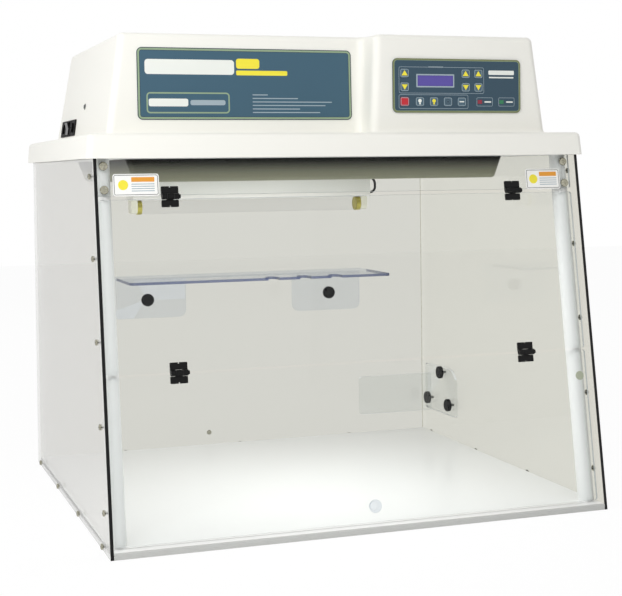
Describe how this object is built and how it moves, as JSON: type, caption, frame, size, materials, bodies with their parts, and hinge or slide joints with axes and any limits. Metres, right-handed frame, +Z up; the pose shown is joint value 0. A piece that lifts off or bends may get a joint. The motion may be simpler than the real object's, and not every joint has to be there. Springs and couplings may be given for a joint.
{
  "type": "pcr workstation",
  "caption": "Bench cabinet with clear walls, a bi-fold clear front, a white worktop, a UV lamp, and a white head that holds the blower, filter and controls.",
  "frame": {"origin": "centre of the footprint, on the surface that the cabinet stands on", "axes": "+X to the right as seen by the user, +Y to the back, +Z up"},
  "size_m": [0.813, 0.712, 0.7575],
  "materials": {
    "worktop": "smooth white laminate",
    "sill": "smooth, slightly darker than the worktop",
    "clear_sheet": "clear cast sheet with polished edges",
    "white_plastic": "satin white",
    "bumper": "matt, grey-green",
    "hinge_black": "moulded black",
    "pin_steel": "bright drawn steel",
    "label": "printed film, left blank",
    "zinc_screw": "zinc plated, slightly yellow",
    "black_plastic": "moulded black",
    "tray_black": "satin black",
    "filter_frame": "plain extruded",
    "filter_paper": "pleated glass-fibre paper",
    "galvanised": "galvanised sheet",
    "motor": "satin dark grey",
    "ballast_white": "semi-gloss white",
    "white_enamel": "gloss white enamel",
    "tube_glass": "clear quartz-like glass",
    "cap_aluminium": "drawn, satin",
    "cable": "black sheath",
    "head_plastic": "warm white moulding, low gloss",
    "grille": "warm white moulding",
    "foam": "open-cell filter pad",
    "blue_film": "printed blue film, satin",
    "board": "green circuit board",
    "display": "liquid-crystal window",
    "indicator": "coloured light pipe",
    "key_blue": "printed key",
    "key_red": "printed red key"
  },
  "bodies": {
    "cabinet": {"base_panel": "worktop", "front_sill": "sill", "left_side_panel": "clear_sheet", "right_side_panel": "clear_sheet", "back_panel": "clear_sheet", "front_posts": "white_plastic", "door_bumper": "bumper", "transom_panel": "clear_sheet", "top_hinge_plates": "hinge_black", "top_hinge_pins": "pin_steel", "transom_labels": "label", "panel_screws": "zinc_screw", "shelf": "clear_sheet", "side_holder": "clear_sheet", "thumb_screws": "black_plastic", "ceiling_plate": "white_plastic", "filter_tray": "tray_black", "hepa_frame": "filter_frame", "hepa_media": "filter_paper", "blower_deck": "galvanised", "blower_housing": "galvanised", "blower_motor": "motor", "ballast": "ballast_white", "lamp_housing": "white_enamel", "lampholders": "white_plastic", "uv_tube": "tube_glass", "tube_caps": "cap_aluminium", "lamp_lead": "cable", "head_cover": "head_plastic", "intake_grille": "grille", "prefilter_pad": "foam", "nameplate": "blue_film", "control_overlay": "blue_film", "control_board": "board", "display_module": "display", "indicator_leds": "indicator", "power_inlet": "black_plastic", "inlet_pins": "cap_aluminium", "switch_bezel": "black_plastic", "fuse_holder": "black_plastic"},
    "upper_door": {"upper_door": "clear_sheet", "upper_top_leaves": "hinge_black", "upper_middle_leaves": "hinge_black", "middle_hinge_pins": "pin_steel"},
    "lower_door": {"lower_door": "clear_sheet", "lower_middle_leaves": "hinge_black", "door_knob": "clear_sheet"},
    "blower_wheel": {"impeller": "galvanised"},
    "mains_rocker": {"rocker_switch": "black_plastic"},
    "key_left_up_body": {"key_left_up": "key_blue"},
    "key_left_down_body": {"key_left_down": "key_blue"},
    "key_middle_up_body": {"key_middle_up": "key_blue"},
    "key_middle_down_body": {"key_middle_down": "key_blue"},
    "key_right_up_body": {"key_right_up": "key_blue"},
    "key_right_down_body": {"key_right_down": "key_blue"},
    "key_stop_body": {"key_stop": "key_red"},
    "key_uv_lamp_body": {"key_uv_lamp": "key_blue"},
    "key_work_lamp_body": {"key_work_lamp": "key_blue"},
    "key_blower_body": {"key_blower": "key_blue"},
    "key_mode_body": {"key_mode": "key_blue"}
  },
  "joints": [
    {"name": "upper_door_hinge", "type": "hinge", "parent": "cabinet", "child": "upper_door", "pos_m": [0, -0.26605, 0.50546], "axis": [-1, 0, 0], "range_deg": [0, 135]},
    {"name": "lower_door_hinge", "type": "hinge", "parent": "upper_door", "child": "lower_door", "pos_m": [0, -0.30582, 0.24977], "axis": [-1, 0, 0], "range_deg": [0, 178]},
    {"name": "blower_spin", "type": "hinge", "parent": "cabinet", "child": "blower_wheel", "pos_m": [-0.04, 0.06, 0.664], "axis": [1, 0, 0], "continuous": true},
    {"name": "mains_rocker_pivot", "type": "hinge", "parent": "cabinet", "child": "mains_rocker", "pos_m": [-0.35695, 0.17, 0.62], "axis": [0, 1, 0], "range_deg": [0, 20]},
    {"name": "key_left_up_press", "type": "slide", "parent": "cabinet", "child": "key_left_up_body", "axis": [0, 1, 0], "range_m": [0, 0.0006], "stiffness_N_per_m": 1500},
    {"name": "key_left_down_press", "type": "slide", "parent": "cabinet", "child": "key_left_down_body", "axis": [0, 1, 0], "range_m": [0, 0.0006], "stiffness_N_per_m": 1500},
    {"name": "key_middle_up_press", "type": "slide", "parent": "cabinet", "child": "key_middle_up_body", "axis": [0, 1, 0], "range_m": [0, 0.0006], "stiffness_N_per_m": 1500},
    {"name": "key_middle_down_press", "type": "slide", "parent": "cabinet", "child": "key_middle_down_body", "axis": [0, 1, 0], "range_m": [0, 0.0006], "stiffness_N_per_m": 1500},
    {"name": "key_right_up_press", "type": "slide", "parent": "cabinet", "child": "key_right_up_body", "axis": [0, 1, 0], "range_m": [0, 0.0006], "stiffness_N_per_m": 1500},
    {"name": "key_right_down_press", "type": "slide", "parent": "cabinet", "child": "key_right_down_body", "axis": [0, 1, 0], "range_m": [0, 0.0006], "stiffness_N_per_m": 1500},
    {"name": "key_stop_press", "type": "slide", "parent": "cabinet", "child": "key_stop_body", "axis": [0, 1, 0], "range_m": [0, 0.0006], "stiffness_N_per_m": 1500},
    {"name": "key_uv_lamp_press", "type": "slide", "parent": "cabinet", "child": "key_uv_lamp_body", "axis": [0, 1, 0], "range_m": [0, 0.0006], "stiffness_N_per_m": 1500},
    {"name": "key_work_lamp_press", "type": "slide", "parent": "cabinet", "child": "key_work_lamp_body", "axis": [0, 1, 0], "range_m": [0, 0.0006], "stiffness_N_per_m": 1500},
    {"name": "key_blower_press", "type": "slide", "parent": "cabinet", "child": "key_blower_body", "axis": [0, 1, 0], "range_m": [0, 0.0006], "stiffness_N_per_m": 1500},
    {"name": "key_mode_press", "type": "slide", "parent": "cabinet", "child": "key_mode_body", "axis": [0, 1, 0], "range_m": [0, 0.0006], "stiffness_N_per_m": 1500}
  ]
}
